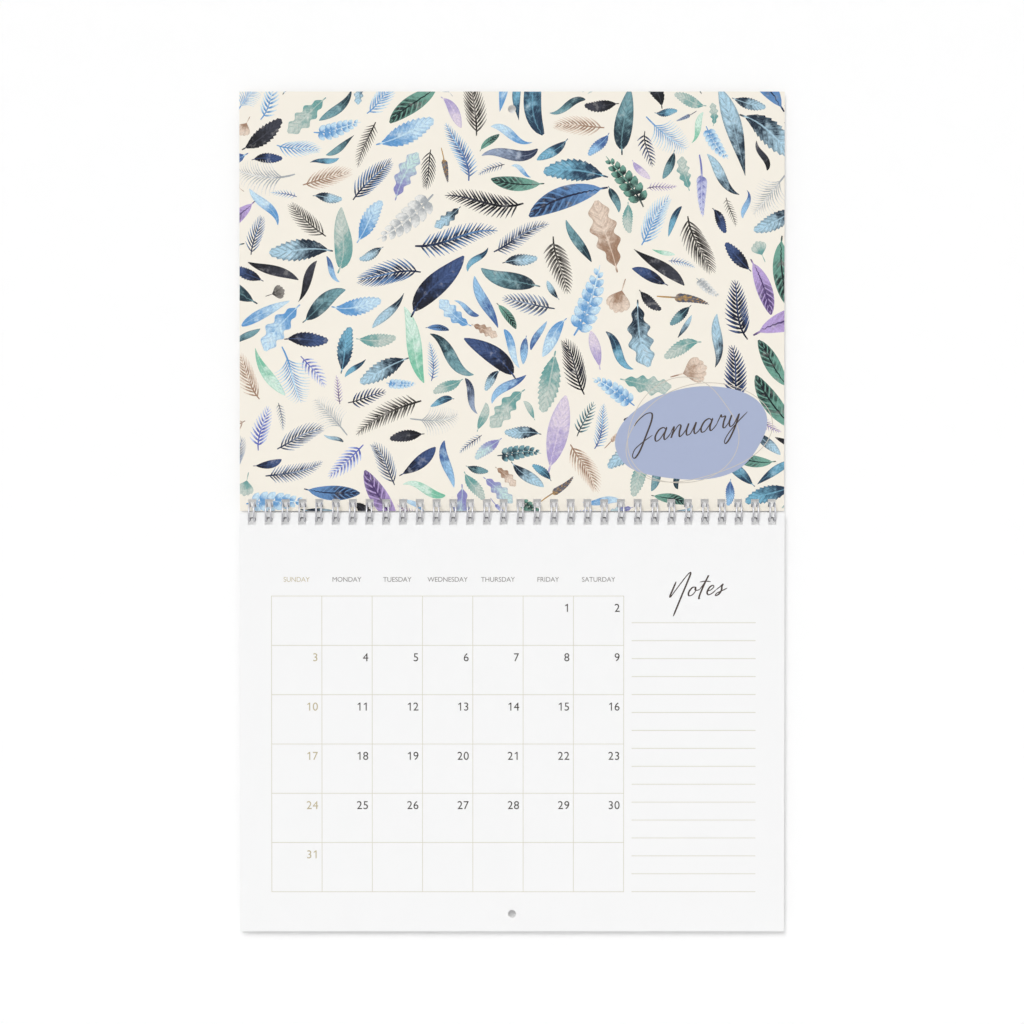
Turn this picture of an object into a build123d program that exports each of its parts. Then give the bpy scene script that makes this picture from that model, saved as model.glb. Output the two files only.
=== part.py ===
from build123d import *
import math
import os

# A twin-loop wire-bound wall calendar, hung open. The cover leaf is turned up and hangs by its hole.
# The month leaves hang below it on the wire. All sizes are in millimetres.
# The origin is the centre of the cover leaf's hang hole. +X is the reader's right, +Z is up and
# -Y is the side that is read.

# Leaves
leaf_width = 275.0
leaf_height = 211.5
month_leaf_count = 12
month_leaf_thickness = 0.22
cover_thickness = 0.30
leaf_air = 0.02          # air between two month leaves that lie flat on each other
turned_gap = 0.30        # room between the cover leaf and month leaves turned up onto it

# Wire comb: hairpin loops on the trade's three-to-the-inch spacing, closed to a ring
loop_pitch = 25.4 / 3
side_margin = 6.0        # at least this from the last loop's middle to the leaf's side edge
ring_radius = 4.5        # centre of the wire to the middle of the ring
wire_gauge = 0.88
leg_spacing = 2.49       # between the two legs of one loop, centre to centre
spine_bend_radius = 1.0
seam_angle = -30.0       # middle of the closing seam, up from the rear of the ring, in degrees
seam_gap = 0.40          # between the loop tips and the spine bars

# Punched holes
punch_height = 4.0
punch_side_clearance = 0.315
binding_edge_gap = 1.0   # between the binding edges above and below the wire
hang_hole_diameter = 4.0
hang_hole_inset = 8.8    # hang hole centre to the leaf's free edge

# The closed stack of leaves is centred on the ring, cover in front, so turned leaves swap sides of it
month_block_thickness = month_leaf_count * month_leaf_thickness + (month_leaf_count - 1) * leaf_air
stack_thickness = cover_thickness + turned_gap + month_block_thickness
edge_to_ring = binding_edge_gap / 2
ring_y = -(stack_thickness - cover_thickness) / 2
ring_z = hang_hole_inset - leaf_height - edge_to_ring
punch_width = leg_spacing + wire_gauge + 2 * punch_side_clearance
loop_count = int((leaf_width - 2 * side_margin) / loop_pitch) + 1
first_loop_x = -loop_pitch * (loop_count - 1) / 2


def ring_point(x, angle, along=0.0):
    """A point on the ring at x and angle, moved along the ring's tangent there."""
    turn = math.radians(angle)
    y = ring_radius * math.cos(turn) - along * math.sin(turn)
    z = ring_radius * math.sin(turn) + along * math.cos(turn)
    return Vector(x, ring_y + y, ring_z + z)


def binding_holes(hole_z, y_low, thickness):
    """The row of square holes that the wire's loops pass through, as solids to cut away."""
    hole = Box(punch_width, 3 * thickness, punch_height)
    y_middle = y_low + thickness / 2
    places = [Pos(first_loop_x + i * loop_pitch, y_middle, hole_z) for i in range(loop_count)]
    return [place * hole for place in places]


def punched_sheet(y_low, thickness, up):
    """A flat sheet bound at the ring, reaching up or down from it, with its binding and hang holes."""
    side = 1 if up else -1
    middle_z = ring_z + side * (edge_to_ring + leaf_height / 2)
    y_middle = y_low + thickness / 2
    sheet = Pos(0, y_middle, middle_z) * Box(leaf_width, thickness, leaf_height)
    hang_z = ring_z + side * (edge_to_ring + leaf_height - hang_hole_inset)
    drill = Cylinder(hang_hole_diameter / 2, 3 * thickness, rotation=(90, 0, 0))
    cuts = binding_holes(ring_z + side * ring_radius, y_low, thickness)
    cuts.append(Pos(0, y_middle, hang_z) * drill)
    return sheet - cuts


def cover_leaf():
    """The turned-up cover leaf. Its middle plane holds the origin."""
    return punched_sheet(-cover_thickness / 2, cover_thickness, up=True)


def month_leaves():
    """The twelve month leaves as one block, with its back in the plane of the cover leaf's back."""
    y_low = cover_thickness / 2 - month_block_thickness
    return punched_sheet(y_low, month_block_thickness, up=False)


def loop_edges(root_angle, end_angle):
    """The centreline of a loop at x = 0: half a spine bar, a leg to the tip, the other leg, half a bar."""
    left = -leg_spacing / 2
    right = leg_spacing / 2
    bend = spine_bend_radius
    corner = bend * (1 - math.sqrt(0.5))
    middle_angle = (root_angle + end_angle) / 2
    bar_start = ring_point(-loop_pitch / 2, root_angle, -bend)
    left_corner = ring_point(left - bend, root_angle, -bend)
    left_bend = ring_point(left - corner, root_angle, corner - bend)
    left_root = ring_point(left, root_angle)
    left_middle = ring_point(left, middle_angle)
    left_end = ring_point(left, end_angle)
    tip = ring_point(0, end_angle, leg_spacing / 2)
    right_end = ring_point(right, end_angle)
    right_middle = ring_point(right, middle_angle)
    right_root = ring_point(right, root_angle)
    right_bend = ring_point(right + corner, root_angle, corner - bend)
    right_corner = ring_point(right + bend, root_angle, -bend)
    bar_end = ring_point(loop_pitch / 2, root_angle, -bend)
    return [
        Line(bar_start, left_corner),
        ThreePointArc(left_corner, left_bend, left_root),
        ThreePointArc(left_root, left_middle, left_end),
        ThreePointArc(left_end, tip, right_end),
        ThreePointArc(right_end, right_middle, right_root),
        ThreePointArc(right_root, right_bend, right_corner),
        Line(right_corner, bar_end),
    ]


def twin_loop_wire():
    """The wire comb, one wire from end to end, rolled shut with its seam low at the rear."""
    half_seam = math.degrees((seam_gap + wire_gauge) / 2 / ring_radius)
    bar_reach = math.degrees(math.atan2(spine_bend_radius, ring_radius))
    tip_reach = math.degrees(math.atan2(leg_spacing / 2, ring_radius))
    root_angle = seam_angle + half_seam + bar_reach
    end_angle = 360 + seam_angle - half_seam - tip_reach
    edges = loop_edges(root_angle, end_angle)
    path = Wire([edge.edge() for edge in edges])
    section = Plane(origin=path @ 0, z_dir=path % 0) * Circle(wire_gauge / 2)
    loop = sweep(section, path=path)
    expected = path.length * math.pi * wire_gauge**2 / 4
    print("one loop: volume", round(loop.volume, 4), "section times length", round(expected, 4))
    loops = [Pos(first_loop_x + i * loop_pitch, 0, 0) * loop for i in range(loop_count)]
    return loops[0] + loops[1:]


nodes = {
    "cover_leaf": cover_leaf,
    "twin_loop_wire": twin_loop_wire,
    "month_leaves": month_leaves,
}

os.makedirs("parts", exist_ok=True)
for name, make in nodes.items():
    part = make()
    part.label = name
    export_step(part, f"parts/{name}.step")
    print(name, "solids", len(part.solids()), "volume", round(part.volume, 2))
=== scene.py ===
import math
import random
from functools import partial

import bmesh
import bpy
import numpy as np
from mathutils import Matrix, Vector


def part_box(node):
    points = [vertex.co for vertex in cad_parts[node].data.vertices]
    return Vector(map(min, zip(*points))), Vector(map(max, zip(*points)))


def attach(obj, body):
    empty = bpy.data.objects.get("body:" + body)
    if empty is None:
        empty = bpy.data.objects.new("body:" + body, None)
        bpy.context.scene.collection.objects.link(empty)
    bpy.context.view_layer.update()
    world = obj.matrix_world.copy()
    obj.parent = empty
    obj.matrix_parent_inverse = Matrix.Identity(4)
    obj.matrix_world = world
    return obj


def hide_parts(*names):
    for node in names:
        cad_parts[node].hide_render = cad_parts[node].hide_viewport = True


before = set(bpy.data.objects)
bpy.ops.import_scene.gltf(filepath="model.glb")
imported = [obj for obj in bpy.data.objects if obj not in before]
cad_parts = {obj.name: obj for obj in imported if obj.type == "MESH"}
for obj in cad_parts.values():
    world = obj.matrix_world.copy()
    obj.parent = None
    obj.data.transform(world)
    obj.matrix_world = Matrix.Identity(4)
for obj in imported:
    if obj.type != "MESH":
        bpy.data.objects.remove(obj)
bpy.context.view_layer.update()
scene = bpy.context.scene

# ----------------------------------------------------------
# Studio: a white wall close behind the calendar, a pale floor well below it, a large soft light
# high on the left and even light all round. The camera stands square in front of the binding
# and a little above it.
MM = 0.001
wire_low, wire_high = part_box("twin_loop_wire")
ring = (wire_low + wire_high) / 2
ring_outer = (wire_high.z - wire_low.z) / 2
camera_distance = 1.4
camera_lift = math.radians(0.9)
view_width = 0.517
sensor_width = 36
stage_size = 6.0
wall_y = wire_high.y + 0.3 * MM
floor_z = -0.95
ambient_level = 0.53
wall_own_light = 0.18
hole_light_reach = 2.2 * MM
upright = Matrix.Rotation(math.pi / 2, 4, "X")


def linear(hex_colour):
    """An sRGB hex colour as linear red, green, blue and alpha."""
    values = [int(hex_colour[i : i + 2], 16) / 255 for i in (1, 3, 5)]
    return [v / 12.92 if v <= 0.04045 else ((v + 0.055) / 1.055) ** 2.4 for v in values] + [1.0]


def add_node(tree, kind, inputs=None, **settings):
    """Adds a shader node. Inputs maps a socket's name or number to a value, to the socket that feeds it,
    or to a node that feeds it from the first output that it has in use."""
    node = tree.nodes.new("ShaderNode" + kind)
    for name, value in settings.items():
        setattr(node, name, value)
    for name, value in (inputs or {}).items():
        if isinstance(value, bpy.types.Node):
            value = next(output for output in value.outputs if output.enabled)
        if isinstance(value, bpy.types.NodeSocket):
            tree.links.new(value, node.inputs[name])
        else:
            node.inputs[name].default_value = value
    return node


def start_material(name):
    """A material with an empty node tree."""
    material = bpy.data.materials.new(name)
    material.use_nodes = True
    material.node_tree.nodes.clear()
    return material, material.node_tree


camera = bpy.data.objects.new("camera", bpy.data.cameras.new("camera"))
camera.data.sensor_width = sensor_width
camera.data.lens = sensor_width * camera_distance / view_width
camera.data.clip_start = 0.01
camera.location = ring + camera_distance * Vector((0, -math.cos(camera_lift), math.sin(camera_lift)))
camera.rotation_euler = (math.pi / 2 - camera_lift, 0, 0)
scene.collection.objects.link(camera)
scene.camera = camera
scene.view_settings.view_transform = "Standard"

# World: even light, and plain white where the camera, gloss or glass sees it.
world = bpy.data.worlds.new("studio")
scene.world = world
world.use_nodes = True
world.node_tree.nodes.clear()
tree = world.node_tree
ray = add_node(tree, "LightPath").outputs
seen = add_node(tree, "Math", {0: ray["Is Camera Ray"], 1: ray["Is Glossy Ray"]}, operation="MAXIMUM")
seen = add_node(tree, "Math", {0: seen, 1: ray["Is Transmission Ray"]}, operation="MAXIMUM")
light = add_node(tree, "Background", {"Color": linear("#FFFFFF"), "Strength": ambient_level})
white = add_node(tree, "Background", {"Color": linear("#FFFFFF"), "Strength": 1.0})
mixed = add_node(tree, "MixShader", {0: seen, 1: light, 2: white})
add_node(tree, "OutputWorld", {"Surface": mixed})

# Soft suns. Each has a level, a spread in degrees and the way that it shines.
suns = {"key_light": (1.49, 22, (0.20, 0.90, -0.42)), "back_light": (1.1, 60, (-0.3, -0.9, -0.35))}
for name, (level, spread, way) in suns.items():
    lamp = bpy.data.objects.new(name, bpy.data.lights.new(name, "SUN"))
    lamp.data.energy = level
    lamp.data.angle = math.radians(spread)
    lamp.rotation_euler = Vector(way).to_track_quat("-Z", "Y").to_euler()
    scene.collection.objects.link(lamp)


def add_stage_plane(name, matrix, material):
    """A square sheet of the set, which is no part of the calendar."""
    bm = bmesh.new()
    bmesh.ops.create_grid(bm, x_segments=1, y_segments=1, size=stage_size / 2, matrix=matrix)
    mesh = bpy.data.meshes.new(name)
    bm.to_mesh(mesh)
    bm.free()
    mesh.materials.append(material)
    sheet = bpy.data.objects.new(name, mesh)
    scene.collection.objects.link(sheet)


# Matt white wall. It is open from behind, and to the light on what the camera sees first, so that the
# calendar's back is lit and can be seen. A little of its white is its own light, and bands of painted glow
# are added behind the rows of square holes and the lower hang hole, to brighten the shaded wall seen
# through them. Each band has its height from the ring and half its length in millimetres, and the painted
# glow it adds.
painted_hole_glows = [(4.5, 134.0, 0.12), (-4.5, 134.0, 0.30), (-203.2, 2.2, 0.10)]
wall_paint, tree = start_material("matt_white_wall")
ray = add_node(tree, "LightPath").outputs
side = add_node(tree, "NewGeometry").outputs
seen = add_node(tree, "Math", {0: ray["Is Camera Ray"], 1: ray["Is Glossy Ray"]}, operation="MAXIMUM")
place = add_node(tree, "TexCoord").outputs["Object"]
spot = add_node(tree, "SeparateXYZ", {0: place}).outputs
own = wall_own_light
# Painted light: each band adds its level of glow to the wall's own light, behind a row of holes or the hang
# hole.
for height, half_length, painted_glow_level in painted_hole_glows:
    middle_z = ring.z + height * MM
    level = add_node(tree, "Math", {0: spot["Z"], 1: middle_z, 2: hole_light_reach}, operation="COMPARE")
    along = add_node(tree, "Math", {0: spot["X"], 1: 0.0, 2: half_length * MM}, operation="COMPARE")
    row = add_node(tree, "Math", {0: level, 1: along}, operation="MULTIPLY")
    own = add_node(tree, "Math", {0: row, 1: painted_glow_level, 2: own}, operation="MULTIPLY_ADD")
own = add_node(tree, "Math", {0: seen, 1: own}, operation="MULTIPLY")
matt = add_node(tree, "BsdfDiffuse", {"Color": linear("#FFFFFF")})
glow = add_node(tree, "Emission", {"Color": linear("#FFFFFF"), "Strength": 1.0})
paint = add_node(tree, "MixShader", {0: own, 1: matt, 2: glow})
behind = add_node(tree, "Math", {0: ray["Is Camera Ray"], 1: side["Backfacing"]}, operation="MULTIPLY")
first = add_node(tree, "Math", {0: ray["Ray Depth"], 1: 1.5}, operation="LESS_THAN")
lit = add_node(tree, "Math", {0: ray["Is Shadow Ray"], 1: ray["Is Diffuse Ray"]}, operation="MAXIMUM")
lit = add_node(tree, "Math", {0: lit, 1: first}, operation="MULTIPLY")
opened = add_node(tree, "Math", {0: behind, 1: lit}, operation="MAXIMUM")
clear = add_node(tree, "BsdfTransparent")
paint = add_node(tree, "MixShader", {0: opened, 1: paint, 2: clear})
add_node(tree, "OutputMaterial", {"Surface": paint})
add_stage_plane("wall", Matrix.Translation((0, wall_y, ring.z)) @ upright, wall_paint)

floor_paint, tree = start_material("pale_floor")
matt = add_node(tree, "BsdfDiffuse", {"Color": linear("#E4E4E4")})
add_node(tree, "OutputMaterial", {"Surface": matt})
add_stage_plane("floor", Matrix.Translation((0, 0, floor_z)), floor_paint)

# ----------------------------------------------------------
# Cover leaf: one sheet of 300 micron silk-coated card, turned up so that its inside faces the
# reader. The whole inside is printed with a warm cream ground. The trimmed edges show the white
# core of the card.
cover_low, cover_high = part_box("cover_leaf")
cover_front = cover_low.y
sheet_width = cover_high.x - cover_low.x
paper_tooth = 0.25
paper_fibre = 1.6
paper_cloud = 18.0
face_depth = 0.02 * MM


def paper(name, face_colour, core_colour, front_y, back_y, roughness):
    """A paper or card: one colour on its two faces and another on its cut edges, with a fine tooth."""
    material, tree = start_material(name)
    place = add_node(tree, "TexCoord").outputs["Object"]
    split = add_node(tree, "SeparateXYZ", {0: place}).outputs
    at_front = add_node(tree, "Math", {0: split["Y"], 1: front_y + face_depth}, operation="LESS_THAN")
    at_back = add_node(tree, "Math", {0: split["Y"], 1: back_y - face_depth}, operation="GREATER_THAN")
    cloud = add_node(tree, "TexNoise", {"Vector": place, "Scale": 1 / (paper_cloud * MM), "Detail": 3.0})
    shade = add_node(tree, "MapRange", {"Value": cloud, "To Min": 0.996, "To Max": 1.004})
    colour = linear(face_colour)
    face = add_node(tree, "Mix", {0: at_front, 6: linear(core_colour), 7: colour}, data_type="RGBA")
    face = add_node(tree, "Mix", {0: at_back, 6: face, 7: colour}, data_type="RGBA")
    tint = add_node(tree, "Mix", {0: 1.0, 6: face, 7: shade}, data_type="RGBA", blend_type="MULTIPLY")
    tooth = add_node(tree, "TexNoise", {"Vector": place, "Scale": 1 / (paper_tooth * MM), "Detail": 2.0})
    long_way = add_node(tree, "Mapping", {"Vector": place, "Scale": (1.0, 1.0, 0.25)})
    fibre = add_node(tree, "TexNoise", {"Vector": long_way, "Scale": 1 / (paper_fibre * MM), "Detail": 4.0})
    surface = add_node(tree, "Math", {0: tooth, 1: fibre}, operation="ADD")
    relief = add_node(tree, "Bump", {"Strength": 0.25, "Distance": 0.01 * MM, "Height": surface})
    rough = add_node(tree, "MapRange", {"Value": tooth, "To Min": roughness, "To Max": roughness + 0.12})
    sheet = add_node(tree, "BsdfPrincipled", {
        "Base Color": tint, "Roughness": rough, "Normal": relief, "IOR": 1.45, "Specular IOR Level": 0.2})
    add_node(tree, "OutputMaterial", {"Surface": sheet})
    return material


# Silk-coated card, offset printed in cream: an even warm ground, with almost no shine.
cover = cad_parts["cover_leaf"]
cover.data.materials.clear()
cover.data.materials.append(
    paper("silk_coated_card_cream_print", "#F4EEE2", "#FAFAF8", cover_low.y, cover_high.y, 0.55)
)

# ----------------------------------------------------------
# January's picture: sprigs, leaves and seed heads tossed over the cream ground, in washes of navy,
# blue, teal, mint, violet, charcoal and tan. Each blade is a film of ink on the paper, drawn as
# a strip of cells bent along its midrib, and the sheet's edges and holes cut through the print.
picture_seed = 21
ink_film = 0.03 * MM
ink_step = 0.008 * MM
motif_gap = 1.05
punch_pitch = 25.4 / 3
punch_count = 32
punch_half = 2.0 * MM
punch_inset = 4.5 * MM
hang_inset = 8.8 * MM
hang_radius = 2.0 * MM
hole_xs = [(i - (punch_count - 1) / 2) * punch_pitch * MM for i in range(punch_count)]

# Each wash runs from the ink at a blade's foot to the ink at its tip.
wash_inks = {
    "navy": ("#0A0F22", "#274A84"),
    "ink_blue": ("#111C3C", "#3F7FBC"),
    "royal": ("#2340B2", "#B4C6F2"),
    "cobalt": ("#145096", "#8AC2EA"),
    "sky": ("#2A8ACB", "#C4E3F3"),
    "ocean": ("#11334F", "#5FB0D0"),
    "lagoon": ("#0B2135", "#A9D3E8"),
    "teal": ("#152E3C", "#6BA2AC"),
    "sage": ("#5A9E9A", "#C6D0C6"),
    "fir": ("#0D191F", "#64A390"),
    "mint": ("#62BF9B", "#D5EEDF"),
    "violet": ("#45286A", "#B497D6"),
    "mauve": ("#A695CC", "#E2D3E2"),
    "periwinkle": ("#5F66B6", "#C3C7EA"),
    "lilac_mint": ("#7B78BE", "#C2E2DC"),
    "charcoal": ("#0F1017", "#3A3C49"),
    "smoke": ("#2A2724", "#8F8982"),
    "slate": ("#22304E", "#93A6C4"),
    "tan": ("#9C7353", "#E6CFBA"),
    "mist": ("#A3A9AE", "#EAE9E4"),
    "ochre": ("#B98A2C", "#2F4A6B"),
}


def start_print():
    """A bmesh for flat ink shapes, with the layers that the ink material reads."""
    bm = bmesh.new()
    layers = {
        "dark_ink": bm.verts.layers.float_color.new("dark_ink"),
        "pale_ink": bm.verts.layers.float_color.new("pale_ink"),
        "blade": bm.verts.layers.float_vector.new("blade"),
        "film": bm.verts.layers.float.new("film"),
    }
    return bm, layers


def direction(heading):
    """A flat heading as a direction."""
    return Vector((math.cos(heading), math.sin(heading)))


def swell(u, lean, full):
    """How wide a blade is at u of its length. Lean moves its widest place, and full rounds its ends."""
    return math.sin(math.pi * min(max(u, 0.0), 1.0) ** lean) ** full


def midrib(start, heading, length, bend, sway, cells):
    """Points along a curved line and its headings there. Bend curves it one way, sway to and fro."""
    points = [Vector(start)]
    ways = [heading]
    for i in range(cells):
        middle = (i + 0.5) / cells
        way = heading + bend * middle + sway * math.sin(math.pi * middle)
        points.append(points[-1] + length / cells * direction(way))
        ways.append(heading + bend * (i + 1) / cells + sway * math.sin(math.pi * (i + 1) / cells))
    return points, ways


def draw_blade(pen, start, heading, length, width, inks, bend=0.0, sway=0.0, lean=0.9, full=0.8, cells=8,
               teeth=0.0, tooth_count=0, lobes=0, vein=0.5, lift=0):
    """One blade of ink from start: a strip of cells bent along its midrib. Sizes are in millimetres, and
    lift counts the steps that it stands over the blades below it."""
    bm, layers = pen
    if tooth_count:
        cells = tooth_count * 2
    points, ways = midrib(start, heading, length, bend, sway, cells)
    rows = 2 if tooth_count or lobes else 1
    for vertex in bmesh.ops.create_grid(bm, x_segments=cells, y_segments=rows, size=1.0)["verts"]:
        i = round((vertex.co.x + 1) / 2 * cells)
        u = i / cells
        v = vertex.co.y
        half = max(width / 2 * swell(0.01 + 0.98 * u, lean, full), 0.05)
        forward = 0.0
        if tooth_count:
            half *= 1 - teeth * (i % 2)
            forward = (0.5 if i % 2 else 1.1) * length / cells * (0 < i < cells) * abs(v)
        if lobes:
            half *= 0.80 - 0.20 * math.cos(2 * math.pi * (lobes * u + 0.1))
        along = direction(ways[i])
        point = points[i] + v * half * Vector((-along.y, along.x)) + forward * along
        vertex.co = (point.x * MM, 0, point.y * MM)
        vertex[layers["dark_ink"]] = linear(inks[0])
        vertex[layers["pale_ink"]] = linear(inks[1])
        vertex[layers["blade"]] = (u, v, vein)
        vertex[layers["film"]] = ink_film + lift * ink_step


def draw_leaf(pen, start, heading, size, bend, sway, inks, luck, width, lean, length=1.0, stalk=True,
              swap=False, **looks):
    """One leaf with a short stalk behind it. A pair of numbers for lean is a range, and swap changes the
    leaf's two inks over."""
    if isinstance(lean, tuple):
        lean = luck.uniform(*lean)
    leaf_inks = inks[::-1] if swap else inks
    draw_blade(pen, start, heading, size * length, size * width, leaf_inks, bend, sway, lean, **looks)
    if stalk:
        back = Vector(start) - size * 0.10 * direction(heading)
        draw_blade(pen, back, heading, size * 0.15, size * 0.028, inks, lean=0.5, full=0.3, cells=3, vein=0.0,
                   lift=1)


# A broad smooth leaf, a long thin one curved to and fro, a toothed one, a smooth one with strong dark bands
# along its side veins, and one with round lobes.
draw_laurel = partial(draw_leaf, width=0.30, lean=(0.7, 1.2), full=0.7, cells=14, vein=0.8)
draw_willow = partial(draw_leaf, width=0.19, lean=(0.7, 1.4), full=0.8, cells=18, vein=0.6, stalk=False)
draw_beech = partial(draw_leaf, width=0.36, lean=0.85, full=0.7, length=0.92, teeth=0.18, tooth_count=11,
                     vein=1.0)
draw_banded = partial(draw_leaf, width=0.29, lean=1.0, full=0.65, cells=14, vein=2.4, swap=True)
draw_oak = partial(draw_leaf, width=0.42, lean=1.2, full=0.5, cells=40, lobes=4, vein=0.9)


def draw_frond(pen, start, heading, size, bend, sway, inks, luck, fewest=0, rate=0.0, most=20, leaf=0.27,
               slim=0.17, sweep=1.05, lean=0.55, full=0.7, bare=0.12, curl=-0.3):
    """A stem with pairs of leaflets that shorten towards its tip, rate of them to a millimetre. The rest of
    its looks are leaf, the longest leaflet over the stem, and the leaflet's slimness, sweep and curl."""
    steps = 60
    pairs = min(max(fewest, round(size * rate)), most)
    points, ways = midrib(start, heading, size, bend, sway, steps)
    for i in range(pairs):
        u = bare + (0.97 - bare) * i / pairs
        reach = size * leaf * swell(0.16 + 0.82 * u, 0.8, 0.7)
        for side in (-1, 1):
            at = round((u + side * 0.010) * steps)
            turn = side * sweep * (1.05 - 0.45 * u)
            draw_blade(pen, points[at], ways[at] + turn, reach, reach * slim, inks, side * curl, 0.0, lean,
                       full, 4, vein=0.2, lift=1 + (i + (side + 1) // 2) % 2)
    draw_blade(pen, start, heading, size, size * 0.03, inks, bend, sway, 0.5, 0.35, 10, vein=0.0, lift=3)


# A fern, a palm of long swept leaflets, a spruce twig of short close needles, a sprig with pairs of round
# leaves, a spike of buds on a bare stem, and a grass plume of fine curling wisps.
draw_fern = partial(draw_frond, fewest=8, rate=0.42, most=14)
draw_palm = partial(draw_frond, rate=0.48, most=16, leaf=0.34, slim=0.10, sweep=0.80, bare=0.08)
draw_spruce = partial(draw_frond, rate=0.62, leaf=0.20, slim=0.13, sweep=0.8, bare=0.08, curl=0.2)
draw_eucalyptus = partial(draw_frond, fewest=7, leaf=0.20, slim=0.66, sweep=1.15, lean=0.9, full=0.5)
draw_lavender = partial(draw_frond, fewest=10, leaf=0.16, slim=0.46, sweep=0.7, lean=0.9, full=0.6, bare=0.34)
draw_plume = partial(draw_frond, fewest=14, leaf=0.36, slim=0.06, sweep=0.55, bare=0.22, curl=1.1)


def draw_ginkgo(pen, start, heading, size, bend, sway, inks, luck):
    """A fan-shaped leaf on a thin stalk."""
    draw_blade(pen, start, heading, size * 0.45, size * 0.035, inks, lean=0.5, full=0.35, cells=5, vein=0.0,
               lift=1)
    point = Vector(start) + size * 0.34 * direction(heading)
    for i in range(5):
        turn = (i - 2) * 0.26
        reach = size * (0.66 - 0.04 * abs(i - 2))
        draw_blade(pen, point, heading + turn, reach, size * 0.27, inks, lean=1.9, full=0.6, vein=0.3,
                   lift=i % 3)


# Each kind has its drawing, how often it comes, its half width over its length, its widest bend and sway,
# the least size class that has it, and its washes.
motif_kinds = [
    (draw_laurel, 19, 0.150, 0.6, 0.4, 0,
     "navy lagoon teal cobalt sky mauve lilac_mint sage ocean lagoon teal"),
    (draw_willow, 21, 0.100, 0.9, 1.0, 0,
     "ocean royal teal lagoon sky cobalt slate mint charcoal cobalt ocean"),
    (draw_beech, 24, 0.185, 0.6, 0.4, 0, "charcoal lagoon teal sage cobalt lilac_mint ocean sky navy lagoon"),
    (draw_banded, 7, 0.145, 0.6, 0.3, 0, "fir ink_blue violet fir"),
    (draw_oak, 6, 0.190, 0.5, 0.3, 12, "tan sky sage lagoon lilac_mint"),
    (draw_fern, 14, 0.200, 0.6, 0.4, 18, "slate charcoal sky charcoal smoke sage royal teal navy"),
    (draw_palm, 12, 0.210, 0.5, 0.4, 20, "smoke charcoal slate ink_blue smoke tan sky"),
    (draw_spruce, 10, 0.150, 0.6, 0.5, 16, "slate smoke violet cobalt ink_blue charcoal"),
    (draw_eucalyptus, 8, 0.180, 0.5, 0.3, 14, "sage teal mist sky fir lilac_mint"),
    (draw_lavender, 5, 0.120, 0.5, 0.3, 12, "periwinkle violet slate ochre tan"),
    (draw_plume, 6, 0.180, 0.7, 0.3, 20, "mist sky mist periwinkle"),
    (draw_ginkgo, 4, 0.340, 0.0, 0.0, 12, "mist sage smoke tan"),
]
# Sizes in millimetres, and how many motifs of each are tried.
size_classes = [(44, 9), (35, 26), (28, 68), (22, 86), (16, 86), (12, 40)]
size_spread = 0.15
broad_kind = 0.3
broad_scale = 0.75
room_cell = 1.0
most_room = 8.0
places_tried = 2500
places_weighed = 12


def toss_motifs(pen, luck, x_range, z_range):
    """Tosses motifs of falling sizes over the sheet, each as snug against the others as a few tries find.
    Room holds how far each place on the sheet is from the nearest motif."""
    chance = np.random.default_rng(picture_seed)
    columns = int((x_range[1] - x_range[0]) / room_cell)
    rows = int((z_range[1] - z_range[0]) / room_cell)
    cell_x, cell_z = np.meshgrid(
        x_range[0] + room_cell * (np.arange(columns) + 0.5),
        z_range[0] + room_cell * (np.arange(rows) + 0.5),
    )
    room = np.full(cell_x.shape, most_room)
    steps = 12
    picks = list(range(0, steps + 1, 2))
    for size_class, count in size_classes:
        kinds = [kind for kind in motif_kinds if kind[5] <= size_class]
        for _ in range(count):
            kind = luck.choices(kinds, [kind[1] for kind in kinds])[0]
            draw, _, slender, most_bend, most_sway, _, ink_names = kind
            size = size_class * luck.uniform(1 - size_spread, 1 + size_spread)
            if slender > broad_kind:
                size *= broad_scale
            bend = luck.uniform(-most_bend, most_bend)
            sway = luck.uniform(-most_sway, most_sway)
            points, _ = midrib((0, 0), 0.0, size, bend, sway, steps)
            own = np.array([points[i] for i in picks])
            shares = np.array(picks) / steps
            heading = chance.uniform(-math.pi, math.pi, places_tried)[:, None]
            begin_x = chance.uniform(x_range[0], x_range[1], places_tried)[:, None]
            begin_z = chance.uniform(z_range[0], z_range[1], places_tried)[:, None]
            disc_x = begin_x + own[:, 0] * np.cos(heading) - own[:, 1] * np.sin(heading)
            disc_z = begin_z + own[:, 0] * np.sin(heading) + own[:, 1] * np.cos(heading)
            disc_radius = size * slender * (0.30 + 0.70 * np.sin(np.pi * shares))
            column = np.clip(((disc_x - x_range[0]) / room_cell).astype(int), 0, columns - 1)
            row = np.clip(((disc_z - z_range[0]) / room_cell).astype(int), 0, rows - 1)
            left_over = room[row, column] - disc_radius
            fits = np.flatnonzero(left_over.min(axis=1) > motif_gap)[:places_weighed]
            if not len(fits):
                continue
            best = fits[left_over[fits].sum(axis=1).argmin()]
            for x, z, radius in zip(disc_x[best], disc_z[best], disc_radius):
                room = np.minimum(room, np.hypot(cell_x - x, cell_z - z) - radius)
            start = Vector((begin_x[best, 0], begin_z[best, 0]))
            inks = wash_inks[luck.choice(ink_names.split())]
            draw(pen, start, heading[best, 0], size, bend, sway, inks, luck)


def cut_sheet(bm, faces, point, normal, drop_outside=False):
    """Cuts these faces along a plane that stands square to the sheet, and may drop what lies past it."""
    if faces:
        edges = dict.fromkeys(edge for face in faces for edge in face.edges)
        verts = dict.fromkeys(vertex for face in faces for vertex in face.verts)
        bmesh.ops.bisect_plane(bm, geom=[*faces, *edges, *verts], dist=1e-8, plane_co=point, plane_no=normal,
                               clear_outer=drop_outside)


def in_row(face, row_z):
    """Whether a face lies in a row of square holes."""
    return abs(face.calc_center_median().z - row_z) < punch_half


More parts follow.
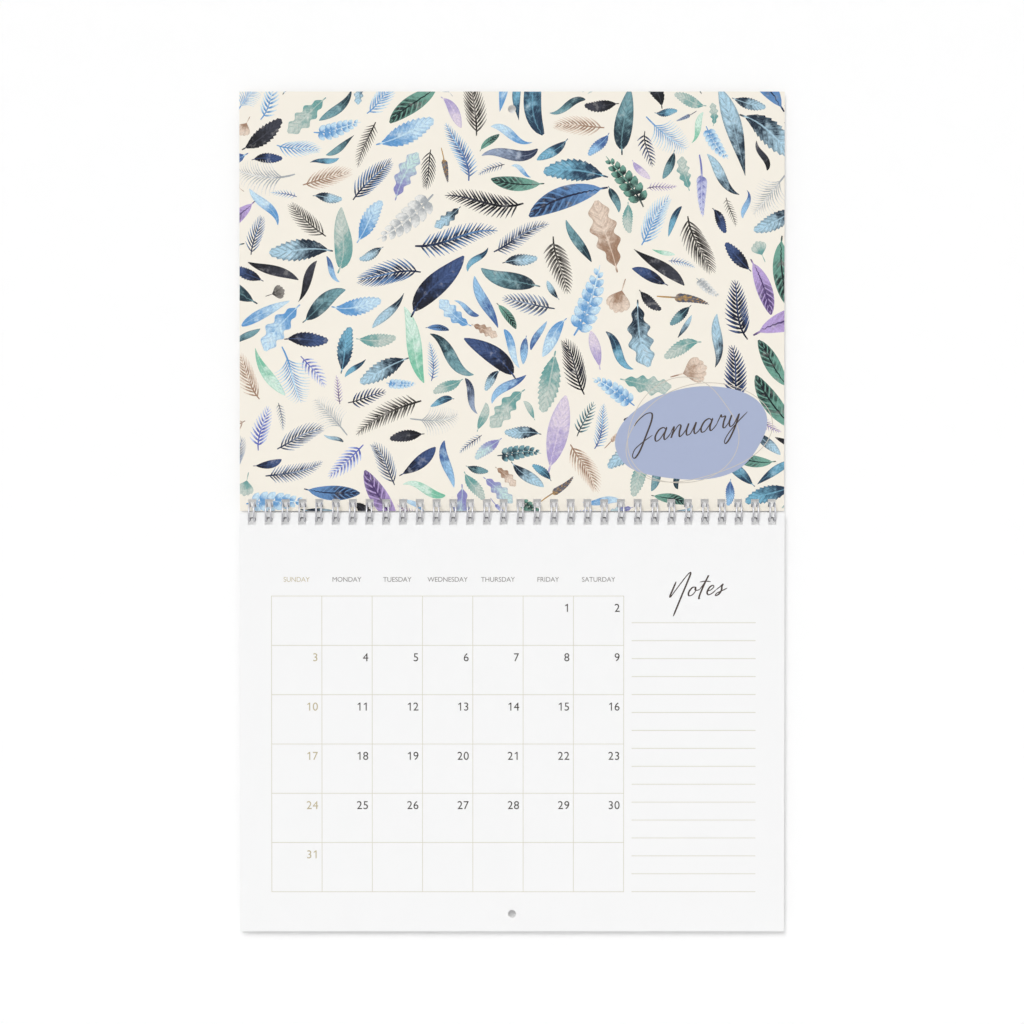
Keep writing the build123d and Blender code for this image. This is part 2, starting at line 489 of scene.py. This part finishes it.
def in_punch(face, row_z):
    """Whether a face fills one of the row's square holes."""
    return in_row(face, row_z) and min(abs(face.calc_center_median().x - x) for x in hole_xs) < punch_half


def trim_print(bm, low, high, binding_z, hang_z):
    """Trims the print to the sheet, and cuts the sheet's square holes and its round hole out of it."""
    for corner, outside in ((low, -1), (high, 1)):
        cut_sheet(bm, bm.faces[:], corner, (outside, 0, 0), True)
        cut_sheet(bm, bm.faces[:], corner, (0, 0, outside), True)
    for z in (binding_z - punch_half, binding_z + punch_half):
        cut_sheet(bm, bm.faces[:], (0, 0, z), (0, 0, 1))
    for x in hole_xs:
        for edge in (x - punch_half, x + punch_half):
            strip = [f for f in bm.faces if in_row(f, binding_z)]
            near = [f for f in strip if min(v.co.x for v in f.verts) < edge < max(v.co.x for v in f.verts)]
            cut_sheet(bm, near, (edge, 0, 0), (1, 0, 0))
    bmesh.ops.delete(bm, geom=[f for f in bm.faces if in_punch(f, binding_z)], context="FACES")
    centre = Vector((0, 0, hang_z))
    sides = 16
    for i in range(sides):
        turn = 2 * math.pi * i / sides
        out = Vector((math.cos(turn), 0, math.sin(turn)))
        near = [f for f in bm.faces if (f.calc_center_median() - centre).length < 4 * hang_radius]
        cut_sheet(bm, near, centre + hang_radius * out, out)
    inside = [f for f in bm.faces if (f.calc_center_median() - centre).length < hang_radius]
    bmesh.ops.delete(bm, geom=inside, context="FACES")


def vertices_in(geometry):
    """The vertices among what an operator made."""
    return [item for item in geometry if isinstance(item, bmesh.types.BMVert)]


def thicken(bm, faces, rise):
    """Gives flat faces a thickness, rise being how far the new side stands out towards the reader."""
    raised = bmesh.ops.extrude_face_region(bm, geom=faces)["geom"]
    bmesh.ops.translate(bm, verts=vertices_in(raised), vec=(0, -rise, 0))


def face_out(bm):
    """Turns every face outwards."""
    bmesh.ops.recalc_face_normals(bm, faces=bm.faces[:])


def thicken_print(bm, layers, front_y):
    """Lays the flat shapes on the sheet's front and gives each its film of ink."""
    for vertex in bm.verts:
        vertex.co.y = front_y
    for vertex in vertices_in(bmesh.ops.extrude_face_region(bm, geom=bm.faces[:])["geom"]):
        vertex.co.y -= vertex[layers["film"]]
    face_out(bm)


def finish_piece(name, bm, material, body, smooth=False):
    """Turns a bmesh into a piece that rides on a body and takes its finish from a slot."""
    mesh = bpy.data.meshes.new(name)
    bm.to_mesh(mesh)
    bm.free()
    mesh.materials.append(material)
    if smooth:
        mesh.polygons.foreach_set("use_smooth", [True] * len(mesh.polygons))
    piece = bpy.data.objects.new(name, mesh)
    scene.collection.objects.link(piece)
    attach(piece, body)
    return piece


# Watercolour print: two inks that run into each other along each blade, darker where the wash dried at
# its edge, with blooms of thinned colour, a grain of pigment, a pale midrib and faint side veins.
wash_grain = 0.9
wash_bloom = 5.0
wash_strength = 0.84
vein_pairs = 9
watercolour, tree = start_material("watercolour_wash_print")
place = add_node(tree, "TexCoord").outputs["Object"]
dark = add_node(tree, "Attribute", attribute_name="dark_ink")
pale = add_node(tree, "Attribute", attribute_name="pale_ink")
blade = add_node(tree, "Attribute", attribute_name="blade")
blade = add_node(tree, "SeparateXYZ", {0: blade.outputs["Vector"]}).outputs
across = add_node(tree, "Math", {0: blade["Y"]}, operation="ABSOLUTE")
bloom = add_node(tree, "TexNoise", {
    "Vector": place, "Scale": 1 / (wash_bloom * MM), "Detail": 4.0, "Roughness": 0.6})
grain = add_node(tree, "TexNoise", {
    "Vector": place, "Scale": 1 / (wash_grain * MM), "Detail": 3.0, "Roughness": 0.7})
drift = add_node(tree, "MapRange", {
    "Value": bloom, "From Min": 0.25, "From Max": 0.75, "To Min": -0.35, "To Max": 0.35})
run = add_node(tree, "Math", {0: blade["X"], 1: drift}, operation="ADD")
smooth = {"interpolation_type": "SMOOTHSTEP"}
run = add_node(tree, "MapRange", {"Value": run, "From Min": 0.15, "From Max": 0.72}, **smooth)
wash = add_node(tree, "Mix", {0: run, 6: dark, 7: pale}, data_type="RGBA")
rim = add_node(tree, "MapRange", {
    "Value": across, "From Min": 0.62, "From Max": 1.0, "To Max": 0.40}, **smooth)
lean_in = add_node(tree, "Math", {0: across, 1: 0.16}, operation="MULTIPLY")
vein_at = add_node(tree, "Math", {0: blade["X"], 1: lean_in}, operation="SUBTRACT")
spot = add_node(tree, "SeparateXYZ", {0: place}).outputs
drift = add_node(tree, "Math", {0: spot["X"], 1: 40.0, 2: spot["Z"]}, operation="MULTIPLY_ADD")
comb = add_node(tree, "CombineXYZ", {"X": vein_at, "Y": blade["Y"], "Z": drift})
comb = add_node(tree, "Mapping", {"Vector": comb, "Scale": (46.0, 2.2, 1.0)})
brush = add_node(tree, "TexNoise", {"Vector": comb, "Scale": 1.0, "Detail": 3.0, "Roughness": 0.6})
strokes = add_node(tree, "MapRange", {"Value": brush, "From Min": 0.5, "From Max": 0.8, "To Max": 0.7})
lights = add_node(tree, "MapRange", {"Value": brush, "From Min": 0.45, "From Max": 0.2, "To Max": 0.55})
vein_at = add_node(tree, "Math", {0: vein_at, 1: 2 * math.pi * vein_pairs}, operation="MULTIPLY")
vein_at = add_node(tree, "Math", {0: vein_at}, operation="SINE")
veins = add_node(tree, "MapRange", {"Value": vein_at, "From Min": 0.3, "From Max": 0.9, "To Max": 0.36})
veins = add_node(tree, "Math", {0: veins, 1: blade["Z"]}, operation="MULTIPLY")
rib = add_node(tree, "MapRange", {
    "Value": across, "From Min": 0.03, "From Max": 0.12, "To Min": 0.7, "To Max": 0.0}, **smooth)
rib = add_node(tree, "Math", {0: rib, 1: blade["Z"]}, operation="MULTIPLY")
thin = add_node(tree, "MapRange", {"Value": bloom, "From Min": 0.56, "From Max": 0.86, "To Max": 0.45})
water = linear("#F1EDE6")
for amount, ink in ((rim, dark), (strokes, dark), (lights, pale), (veins, dark), (rib, pale), (thin, water)):
    wash = add_node(tree, "Mix", {0: amount, 6: wash, 7: ink}, data_type="RGBA")
speckle = add_node(tree, "MapRange", {
    "Value": grain, "From Min": 0.3, "From Max": 0.7, "To Min": 0.84, "To Max": 1.14})
wash = add_node(tree, "Mix", {0: 1.0, 6: wash, 7: speckle}, data_type="RGBA", blend_type="MULTIPLY")
soft = add_node(tree, "HueSaturation", {"Saturation": wash_strength, "Color": wash})
ink = add_node(tree, "BsdfPrincipled", {"Base Color": soft, "Roughness": 0.6, "Specular IOR Level": 0.2})
add_node(tree, "OutputMaterial", {"Surface": ink})

bm, layers = start_print()
overrun = 8
x_range = (cover_low.x / MM - overrun, cover_high.x / MM + overrun)
z_range = (cover_low.z / MM - overrun, cover_high.z / MM + overrun)
toss_motifs((bm, layers), random.Random(picture_seed), x_range, z_range)
trim_print(bm, cover_low, cover_high, ring.z + punch_inset, cover_high.z - hang_inset)
thicken_print(bm, layers, cover_front)
finish_piece("january_picture", bm, watercolour, "cover")

# ----------------------------------------------------------
# Month label: a smooth periwinkle blot printed low on the right of the picture, with two thin pale gold
# loops drawn loosely round it. The month's name on it is written last of all, with the page's heading.
label_x = 90.5
label_above_binding = 40.1
label_half_width = 38.6
label_half_height = 23.0
label_tilt = math.radians(9)
label_film = 0.07 * MM
loop_line = 0.34
ink_lay = 2.5
label_z = ring.z / MM + label_above_binding


def offset_ink(name, colour):
    """A solid offset-printed ink: matt, with a barely uneven lay."""
    material, tree = start_material(name)
    place = add_node(tree, "TexCoord").outputs["Object"]
    lay = add_node(tree, "TexNoise", {"Vector": place, "Scale": 1 / (ink_lay * MM), "Detail": 4.0})
    shade = add_node(tree, "MapRange", {"Value": lay, "To Min": 0.985, "To Max": 1.015})
    even = linear(colour)
    tint = add_node(tree, "Mix", {0: 1.0, 6: even, 7: shade}, data_type="RGBA", blend_type="MULTIPLY")
    ink = add_node(tree, "BsdfPrincipled", {"Base Color": tint, "Roughness": 0.55, "Specular IOR Level": 0.2})
    add_node(tree, "OutputMaterial", {"Surface": ink})
    return material


def smooth_path(points, steps):
    """A smooth line through given points."""
    points = [Vector(point) for point in points]
    points = [2 * points[0] - points[1]] + points + [2 * points[-1] - points[-2]]
    path = []
    for before, here, there, after in zip(points, points[1:], points[2:], points[3:]):
        for i in range(steps):
            t = i / steps
            curve = 2 * before - 5 * here + 4 * there - after + t * (3 * here - before - 3 * there + after)
            path.append(here + t / 2 * (there - before + t * curve))
    path.append(points[-2])
    return path


def blot_point(turn, grow, wobble, phase):
    """A point on a wobbling egg-shaped outline round the label's middle, in millimetres on the sheet."""
    swellings = 1 + wobble * math.cos(2 * turn + phase) + wobble * 0.7 * math.cos(3 * turn - 2 * phase)
    x = label_half_width * grow * swellings * math.cos(turn)
    z = label_half_height * grow * swellings * math.sin(turn)
    return (
        label_x + x * math.cos(label_tilt) - z * math.sin(label_tilt),
        label_z + x * math.sin(label_tilt) + z * math.cos(label_tilt),
    )


# The blot's outline, in millimetres from its middle, listed round from its top.
blot_corners = [
    (6.0, 23.4), (-8.0, 21.2), (-22.0, 15.6), (-34.5, 5.0), (-38.4, -6.6), (-31.5, -17.4), (-15.0, -22.4),
    (8.0, -23.5), (25.0, -17.8), (35.3, -4.6), (38.4, 6.8), (33.6, 16.0), (22.0, 21.8),
]
blot_steps = 8
wrapped = [blot_corners[-1]] + blot_corners + blot_corners[:2]
outline = smooth_path(wrapped, blot_steps)[blot_steps : -blot_steps - 1]
bm = bmesh.new()
rim = bmesh.ops.create_circle(bm, cap_ends=True, segments=len(outline), radius=1.0)["verts"]
for vertex in rim:
    order = round(math.atan2(vertex.co.y, vertex.co.x) / (2 * math.pi) * len(outline))
    point = outline[order % len(outline)]
    vertex.co = ((label_x + point.x) * MM, cover_front, (label_z + point.y) * MM)
thicken(bm, bm.faces[:], label_film)
face_out(bm)
finish_piece("month_label", bm, offset_ink("periwinkle_offset_ink", "#A9B3CE"), "cover")

# Each loop has its size over the blot's, how much it wobbles and where, its narrowing, how far right it
# lies, and its film over the blot's. The films differ, so that one loop crosses over the other.
loops = [(0.93, 0.075, 2.2, 0.80, -4.5, 1.3), (1.0, 0.06, -0.6, 0.92, 3.5, 1.4)]
loop_sides = 96
bm = bmesh.new()
for grow, wobble, phase, squeeze, shift, film in loops:
    rings = []
    for side in (-0.5, 0.5):
        made = bmesh.ops.create_circle(bm, segments=loop_sides, radius=1.0)["verts"]
        for vertex in made:
            turn = math.atan2(vertex.co.y, vertex.co.x)
            x, z = blot_point(turn, grow, wobble, phase)
            x = label_x + (x - label_x) * squeeze + shift
            z = label_z + (z - label_z) * (2 - squeeze)
            spread = side * loop_line
            vertex.co = ((x + spread * math.cos(turn)) * MM, cover_front, (z + spread * math.sin(turn)) * MM)
        rings.append(made)
    edges = {e for made in rings for v in made for e in v.link_edges}
    band = bmesh.ops.bridge_loops(bm, edges=list(edges))["faces"]
    thicken(bm, band, film * label_film)
face_out(bm)
finish_piece("label_loops", bm, offset_ink("pale_gold_offset_ink", "#CDC5B9"), "cover")

# ----------------------------------------------------------
# Twin-loop wire: one bright tinned steel wire, bent to a comb of hairpin loops and rolled to a ring,
# with the tips closed against the spine low at the rear.
wire_gauge = 0.88
leg_spacing = 2.49
spine_bend = 1.0
seam_angle = -30.0
seam_gap = 0.40
wire_sides = 14
leg_steps = 46
tip_steps = 12
bend_steps = 6
ring_radius = ring_outer / MM - wire_gauge / 2
half_seam = math.degrees((seam_gap + wire_gauge) / 2 / ring_radius)
root_angle = math.radians(seam_angle + half_seam) + math.atan2(spine_bend, ring_radius)
end_angle = math.radians(360 + seam_angle - half_seam) - math.atan2(leg_spacing / 2, ring_radius)


def ring_place(x, turn, along_tangent=0.0):
    """A place on the ring in metres, moved along the ring's tangent there."""
    y = ring_radius * math.cos(turn) - along_tangent * math.sin(turn)
    z = ring_radius * math.sin(turn) + along_tangent * math.cos(turn)
    return Vector((x * MM, ring.y + y * MM, ring.z + z * MM))


def outward(turn):
    """The direction away from the ring's middle at an angle."""
    return Vector((0, math.cos(turn), math.sin(turn)))


def spin_on(bm, edges, centre, axis, angle, steps):
    """Carries the wire's section on round an arc, and returns the section at its end."""
    made = bmesh.ops.spin(bm, geom=edges, cent=centre, axis=axis, angle=angle, steps=steps)
    return [e for e in made["geom_last"] if isinstance(e, bmesh.types.BMEdge)]


def push_on(bm, edges, distance):
    """Carries the wire's section straight on along the spine."""
    made = bmesh.ops.extrude_edge_only(bm, edges=edges)["geom"]
    bmesh.ops.translate(bm, verts=vertices_in(made), vec=(distance * MM, 0, 0))
    return [e for e in made if isinstance(e, bmesh.types.BMEdge) and all(v in made for v in e.verts)]


bm = bmesh.new()
bar_start = ring_place(-punch_pitch / 2, root_angle, -spine_bend)
section = Matrix.Translation(bar_start) @ Matrix.Rotation(math.pi / 2, 4, "Y")
bmesh.ops.create_circle(bm, segments=wire_sides, radius=wire_gauge / 2 * MM, matrix=section)
along_x = Vector((1, 0, 0))
left_bend = ring_place(-leg_spacing / 2 - spine_bend, root_angle)
right_bend = ring_place(leg_spacing / 2 + spine_bend, root_angle)
bar = punch_pitch / 2 - leg_spacing / 2 - spine_bend
last = push_on(bm, bm.edges[:], bar)
last = spin_on(bm, last, left_bend, outward(root_angle), -math.pi / 2, bend_steps)
last = spin_on(bm, last, ring, along_x, end_angle - root_angle, leg_steps)
last = spin_on(bm, last, ring_place(0, end_angle), outward(end_angle), math.pi, tip_steps)
last = spin_on(bm, last, ring, along_x, root_angle - end_angle, leg_steps)
last = spin_on(bm, last, right_bend, outward(root_angle), -math.pi / 2, bend_steps)
push_on(bm, last, bar)
one_loop = bm.verts[:] + bm.edges[:] + bm.faces[:]
bmesh.ops.translate(bm, verts=bm.verts[:], vec=(hole_xs[0], 0, 0))
for i in range(1, punch_count):
    made = bmesh.ops.duplicate(bm, geom=one_loop)["geom"]
    bmesh.ops.translate(bm, verts=vertices_in(made), vec=(i * punch_pitch * MM, 0, 0))
bmesh.ops.remove_doubles(bm, verts=bm.verts[:], dist=0.01 * MM)
bmesh.ops.holes_fill(bm, edges=[e for e in bm.edges if e.is_boundary])
face_out(bm)

# Bright tinned steel: a pale neutral grey metal that mirrors the room softly, a little cloudy where the
# tin lies thicker.
tin_cloud = 1.2
tin_grain = 0.12
tinned_steel, tree = start_material("bright_tinned_steel_wire")
place = add_node(tree, "TexCoord").outputs["Object"]
cloud = add_node(tree, "TexNoise", {"Vector": place, "Scale": 1 / (tin_cloud * MM), "Detail": 3.0})
rough = add_node(tree, "MapRange", {"Value": cloud, "To Min": 0.44, "To Max": 0.58})
shade = add_node(tree, "MapRange", {"Value": cloud, "To Min": 0.94, "To Max": 1.04})
tin = linear("#CBCBCF")
tint = add_node(tree, "Mix", {0: 1.0, 6: tin, 7: shade}, data_type="RGBA", blend_type="MULTIPLY")
fine = add_node(tree, "TexNoise", {"Vector": place, "Scale": 1 / (tin_grain * MM), "Detail": 2.0})
relief = add_node(tree, "Bump", {"Strength": 0.15, "Distance": 0.01 * MM, "Height": fine})
metal = add_node(tree, "BsdfPrincipled", {
    "Base Color": tint, "Metallic": 1.0, "Roughness": rough, "Normal": relief})
add_node(tree, "OutputMaterial", {"Surface": metal})
wire = finish_piece("wire_comb", bm, tinned_steel, "wire", smooth=True)
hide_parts("twin_loop_wire")

# ----------------------------------------------------------
# Month leaves: twelve sheets of white uncoated paper, punched in one stack and hung on the wire.
# January is flat in front, and the sheets behind it spread a little towards their free edges. Each
# hangs as low as the round of the wire lets it.
months_low, months_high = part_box("month_leaves")
month_names = "january february march april may june july august september october november december".split()
leaf_thickness = 0.22
leaf_pitch = ((months_high.y - months_low.y) / MM - leaf_thickness) / (len(month_names) - 1)
free_edge_spread = 1.1
bend_rows = 9
hang_sides = 32


def punched_leaf(front_y, back_shift):
    """One month leaf, hung from the ring: a flat sheet, its square holes, its hang hole and its bow."""
    bm = bmesh.new()
    low_z = months_low.z
    high_z = months_high.z
    size = Matrix.Diagonal((sheet_width / 2, (high_z - low_z) / 2, 1, 1))
    stand = Matrix.Translation((0, front_y, (low_z + high_z) / 2)) @ upright
    bmesh.ops.create_grid(bm, x_segments=1, y_segments=1, size=1.0, matrix=stand @ size)
    binding_z = ring.z - punch_inset
    hang = Vector((0, front_y, low_z + hang_inset))
    around = hang_radius * 1.6
    plain_height = binding_z - punch_half - low_z
    cuts = [binding_z + punch_half, binding_z - punch_half, hang.z - around, hang.z + around]
    cuts += [low_z + plain_height * (0.1 + 0.9 * i / bend_rows) for i in range(1, bend_rows)]
    for z in cuts:
        cut_sheet(bm, bm.faces[:], (0, 0, z), (0, 0, 1))
    edges = [(x + side, binding_z) for x in hole_xs for side in (-punch_half, punch_half)]
    for x, z in edges + [(-around, hang.z), (around, hang.z)]:
        level = [f for f in bm.faces if abs(f.calc_center_median().z - z) < 0.2 * punch_half]
        cut_sheet(bm, level, (x, 0, 0), (1, 0, 0))
    holes = [f for f in bm.faces if in_punch(f, binding_z)]
    holes += [f for f in bm.faces if (f.calc_center_median() - hang).length < around * 0.5]
    bmesh.ops.delete(bm, geom=holes, context="FACES_ONLY")
    at_hang = Matrix.Translation(hang) @ upright
    rim = bmesh.ops.create_circle(bm, segments=hang_sides, radius=hang_radius, matrix=at_hang)
    circle = {e for v in rim["verts"] for e in v.link_edges}
    bounds = [e for e in bm.edges if e.is_boundary]
    square = {e for e in bounds if all((v.co - hang).length < around * 1.5 for v in e.verts)}
    bmesh.ops.triangle_fill(bm, use_beauty=True, edges=list(circle | square))
    face_out(bm)
    thicken(bm, bm.faces[:], -leaf_thickness * MM)
    for vertex in bm.verts:
        down = (high_z - vertex.co.z) / (high_z - low_z)
        vertex.co.y += back_shift * max(down, 0.0) ** 2
    face_out(bm)
    return bm


# Uncoated offset paper: bright neutral white, matt, with a fine tooth and faint cloudiness.
white_paper = paper("uncoated_white_paper", "#F6F6F6", "#F6F6F5", months_low.y, months_high.y, 0.7)
for i, month in enumerate(month_names):
    front_y = months_low.y + i * leaf_pitch * MM
    from_ring = (front_y - ring.y) / MM + leaf_thickness / 2
    hang_lift = ring_radius - math.sqrt(ring_radius**2 - from_ring**2)
    bm = punched_leaf(front_y, i / (len(month_names) - 1) * free_edge_spread * MM)
    if i:
        bmesh.ops.translate(bm, verts=bm.verts[:], vec=(0, 0, hang_lift * MM))
    leaf = finish_piece(month + "_leaf", bm, white_paper, "months")
    if i == 0:
        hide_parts("month_leaves")

# ----------------------------------------------------------
# January's page: a ruled grid of days with the weekdays over it, and ruled lines for notes. Hair
# lines are pale stone ink, the numbers dark grey, and Sunday's column tan.
page_front = months_low.y
page_top = ring.z / MM - 0.5
grid_left = -121.4
grid_top = page_top - 41.9
day_width = 25.4
day_height = 24.93
days_across = 7
weeks = 6
hair_line = 0.34
number_height = 4.0
number_right_gap = 2.0
number_drop = 4.0
weekday_height = 2.35
weekday_rise = 8.4
first_weekday = 5
days_in_month = 31
note_left = 60.4
note_right = 123.0
note_first = page_top - 55.4
note_step = 9.07
note_count = 16
line_film = 0.03 * MM
letter_film = 0.05 * MM

stone_ink = offset_ink("pale_stone_offset_ink", "#D8D5C8")
grey_ink = offset_ink("dark_grey_offset_ink", "#433E3B")
sunday_ink = offset_ink("tan_offset_ink", "#BFB394")
soft_grey_ink = offset_ink("soft_grey_offset_ink", "#817C7A")
brown_ink = offset_ink("dark_brown_offset_ink", "#4A403C")


def add_bar(bm, x_low, x_high, z_low, z_high, film):
    """A straight line as a thin block of ink on the page. Sizes are in millimetres but for the film."""
    middle = Vector(((x_low + x_high) / 2 * MM, page_front - film / 2, (z_low + z_high) / 2 * MM))
    size = Matrix.Diagonal(((x_high - x_low) * MM, film, (z_high - z_low) * MM, 1))
    bmesh.ops.create_cube(bm, size=1.0, matrix=Matrix.Translation(middle) @ size)


bm = bmesh.new()
half_line = hair_line / 2
grid_bottom = grid_top - weeks * day_height
for column in range(days_across + 1):
    x = grid_left + column * day_width
    add_bar(bm, x - half_line, x + half_line, grid_bottom - half_line, grid_top + half_line, line_film)
for row in range(weeks + 1):
    z = grid_top - row * day_height
    for column in range(days_across):
        x = grid_left + column * day_width
        add_bar(bm, x + half_line, x + day_width - half_line, z - half_line, z + half_line, line_film)
finish_piece("january_grid", bm, stone_ink, "months")

bm = bmesh.new()
for line in range(note_count):
    z = note_first - line * note_step
    add_bar(bm, note_left, note_right, z - half_line, z + half_line, line_film)
finish_piece("january_note_lines", bm, stone_ink, "months")


def letter_mesh(words, thin=0.0, spacing=1.0):
    """Words in a plain sans letter of size one, as a mesh one thick. Thin takes weight off the letters."""
    curve = bpy.data.curves.new("letters", "FONT")
    curve.body = words
    curve.size = 1.0
    curve.space_character = spacing
    curve.resolution_u = 6
    curve.offset = -thin
    curve.extrude = 0.5
    shape = bpy.data.objects.new("letters", curve)
    mesh = bpy.data.meshes.new_from_object(shape)
    bpy.data.objects.remove(shape)
    bpy.data.curves.remove(curve)
    return mesh


probe = letter_mesh("H")
capital = max(v.co.y for v in probe.vertices)
bpy.data.meshes.remove(probe)


def set_letters(bm, words, height, x, z, **style):
    """Adds words to the page, their middle at x and their foot at z, with capitals height tall."""
    mesh = letter_mesh(words, **style)
    xs = [v.co.x for v in mesh.vertices]
    scale = height / capital * MM
    stand = Matrix.Translation((x * MM, page_front - letter_film / 2, z * MM)) @ upright
    centred = Matrix.Translation((-(min(xs) + max(xs)) / 2, 0, 0))
    mesh.transform(stand @ Matrix.Diagonal((scale, scale, letter_film, 1)) @ centred)
    bm.from_mesh(mesh)
    bpy.data.meshes.remove(mesh)


# Month's name and notes heading: one round pen, drawn as joined strokes in a plain slanted hand. Each
# letter's advance and strokes are in hundredths of a small letter's height, above the line it stands on.
script_letters = {
    "J": (155, [[(-45, 155), (-20, 195), (35, 235), (85, 230), (95, 170), (75, 60), (50, -50), (20, -100),
          (-5, -80), (5, -30), (60, 15), (130, 55)]]),
    "N": (175, [[(0, 160), (-5, 90), (-10, 10), (0, 0), (25, 60), (75, 180), (110, 245), (127, 235),
          (124, 140), (117, 20), (110, -110), (105, -210)]]),
    "a": (128, [[(80, 80), (55, 100), (20, 85), (2, 40), (15, 3), (45, 12), (78, 70), (84, 95), (76, 35),
          (88, 2), (110, 15), (134, 50)]]),
    "n": (125, [[(0, 45), (16, 90), (20, 60), (14, 5), (28, 50), (55, 94), (76, 85), (74, 40), (84, 2),
          (106, 15), (130, 50)]]),
    "u": (128, [[(0, 45), (14, 92), (8, 40), (20, 3), (50, 15), (76, 92), (72, 35), (86, 2), (110, 15),
          (134, 50)]]),
    "r": (100, [[(0, 45), (16, 90), (22, 112), (34, 92), (62, 95), (58, 50), (62, 10), (80, 5), (104, 42)]]),
    "y": (130, [[(0, 42), (14, 92), (8, 40), (22, 5), (50, 20), (76, 92), (66, 0), (40, -90), (14, -125),
          (0, -100), (25, -40), (85, 35), (145, 95)]]),
    "o": (110, [[(60, 92), (25, 85), (5, 40), (20, 2), (55, 10), (74, 50), (62, 90), (66, 62), (90, 55),
          (110, 62)]]),
    "t": (90, [[(0, 55), (30, 130), (45, 210), (34, 120), (26, 20), (30, -35), (42, -30)],
         [(-25, 142), (30, 148), (95, 140)]]),
    "e": (95, [[(0, 40), (35, 50), (58, 80), (42, 100), (14, 80), (6, 30), (30, 0), (65, 15), (95, 50)]]),
    "s": (80, [[(0, 50), (30, 80), (52, 108), (50, 85), (60, 40), (45, 0), (15, -12), (20, 12), (75, 40),
          (115, 62)]]),
}
script_slant = 0.42
stroke_steps = 7
stroke_rise = 0.0003 * MM
letter_rise = 0.001 * MM


def draw_stroke(bm, path, pen, front_y, film):
    """One pen stroke on the sheet, thicker on its way down and tapered at its ends. It gains a little
    height along its way, so that it can cross itself."""
    last = len(path) - 1
    made = bmesh.ops.create_grid(bm, x_segments=last, y_segments=1, size=1.0)
    for vertex in made["verts"]:
        i = round((vertex.co.x + 1) / 2 * last)
        along = (path[min(i + 1, last)] - path[max(i - 1, 0)]).normalized()
        half = pen / 2 * (0.62 + 0.46 * max(-along.y, 0)) * min(1.0, 0.45 + 0.2 * min(i, last - i))
        point = path[i] + vertex.co.y * half * Vector((-along.y, along.x))
        vertex.co = (point.x * MM, front_y - i * stroke_rise, point.y * MM)
    thicken(bm, list({face for vertex in made["verts"] for face in vertex.link_faces}), film)
    for vertex in made["verts"]:
        vertex.co.y = front_y


def write_script(name, word, middle_x, foot_z, height, tilt, pen, front_y, body):
    """A word in joined script as a piece of ink. Its small letters are height tall, and it tilts up by tilt
    degrees. Sizes are in millimetres, but for the front's place."""
    bm = bmesh.new()
    turn = math.radians(tilt)
    unit = height / 100
    ahead = -sum(script_letters[letter][0] for letter in word) / 2
    for order, letter in enumerate(word):
        advance, strokes = script_letters[letter]
        for stroke in strokes:
            placed = []
            for x, z in stroke:
                across = (ahead + x + script_slant * z) * unit
                up = z * unit
                placed.append((
                    middle_x + across * math.cos(turn) - up * math.sin(turn),
                    foot_z + across * math.sin(turn) + up * math.cos(turn),
                ))
            film = letter_film + order * letter_rise
            draw_stroke(bm, smooth_path(placed, stroke_steps), pen, front_y, film)
        ahead += advance
    face_out(bm)
    return finish_piece(name, bm, brown_ink, body)


weekdays = ["SUNDAY", "MONDAY", "TUESDAY", "WEDNESDAY", "THURSDAY", "FRIDAY", "SATURDAY"]
digit_advance = 3.15
digit_middle = 0.42
one_stem = 0.52
one_right = 0.55
plain_days = bmesh.new()
sundays = bmesh.new()


def set_one(bm, right_x, foot_z):
    """The figure one: an upright stem with a flag at its top left."""
    top_z = foot_z + number_height
    left_x = right_x - one_stem
    add_bar(bm, left_x, right_x, foot_z, top_z, letter_film)
    flag = [(right_x - 0.05, top_z - 0.05), (left_x - 0.35, top_z - 0.62), (left_x - 0.95, top_z - 1.02)]
    draw_stroke(bm, smooth_path(flag, 3), one_stem * 1.25, page_front, letter_film * 0.9)


for day in range(1, days_in_month + 1):
    column = (first_weekday + day - 1) % days_across
    row = (first_weekday + day - 1) // days_across
    right_x = grid_left + (column + 1) * day_width - number_right_gap
    foot_z = grid_top - row * day_height - number_drop - number_height
    target = sundays if column == 0 else plain_days
    for place_in, figure in enumerate(reversed(str(day))):
        middle_x = right_x - (place_in + digit_middle) * digit_advance
        if figure == "1":
            set_one(target, middle_x + one_right, foot_z)
        else:
            set_letters(target, figure, number_height, middle_x, foot_z)
finish_piece("january_day_numbers", plain_days, grey_ink, "months")
finish_piece("january_sunday_numbers", sundays, sunday_ink, "months")

names = bmesh.new()
sunday_name = bmesh.new()
for column, weekday in enumerate(weekdays):
    x = grid_left + (column + 0.5) * day_width
    z = grid_top + weekday_rise - weekday_height / 2
    target = sunday_name if column == 0 else names
    set_letters(target, weekday, weekday_height, x, z, thin=0.004, spacing=0.96)
finish_piece("weekday_names", names, soft_grey_ink, "months")
finish_piece("sunday_name", sunday_name, sunday_ink, "months")

write_script("notes_heading", "Notes", middle_x=93.0, foot_z=page_top - 41.6, height=4.7, tilt=3, pen=0.78,
             front_y=page_front, body="months")
write_script("january_name", "January", middle_x=label_x - 1.0, foot_z=label_z - 1.2, height=6.2, tilt=11,
             pen=0.80, front_y=cover_front - label_film, body="cover")
